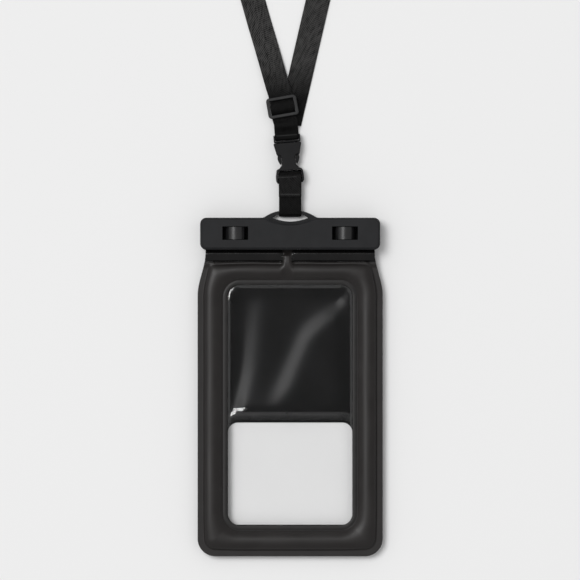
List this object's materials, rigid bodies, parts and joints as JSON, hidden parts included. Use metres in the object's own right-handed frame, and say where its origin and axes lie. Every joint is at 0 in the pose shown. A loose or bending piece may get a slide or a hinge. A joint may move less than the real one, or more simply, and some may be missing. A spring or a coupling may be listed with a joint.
{
  "type": "waterproof phone pouch",
  "caption": "Waterproof phone pouch with a padded frame, clear windows, a clamp bar with turn locks, and a neck strap on a side-release buckle.",
  "frame": {"origin": "middle of the clamp bar's back face, on the table that the pouch lies on", "axes": "+Z out of the pouch's front, +Y from the pouch towards the neck strap, +X to the right seen from the front"},
  "size_m": [0.1366, 0.6192, 0.0151],
  "materials": {
    "clamp_plastic": "satin charcoal moulded plastic with a fine spark texture",
    "lock_plastic": "smooth black moulded plastic",
    "black_film": "soft satin black welded film",
    "clear_film": "clear glossy flexible film",
    "webbing": "black woven polyester webbing",
    "buckle_plastic": "black moulded acetal, lightly satin"
  },
  "bodies": {
    "pouch": {"clamp_back": "clamp_plastic", "clamp_front": "clamp_plastic", "padded_front": "black_film", "front_window": "clear_film", "back_panel": "black_film", "back_window": "clear_film", "lower_strap": "webbing", "buckle_female": "buckle_plastic", "buckle_male": "buckle_plastic", "slider": "buckle_plastic", "neck_strap": "webbing"},
    "left_lock": {"lock_left": "lock_plastic"},
    "right_lock": {"lock_right": "lock_plastic"}
  },
  "joints": [
    {"name": "left_lock_turn", "type": "hinge", "parent": "pouch", "child": "left_lock", "pos_m": [-0.0355, 0.0002, 0.0075], "axis": [0, -1, 0], "range_deg": [0, 80]},
    {"name": "right_lock_turn", "type": "hinge", "parent": "pouch", "child": "right_lock", "pos_m": [0.0355, 0.0002, 0.0075], "axis": [0, 1, 0], "range_deg": [0, 80]}
  ]
}
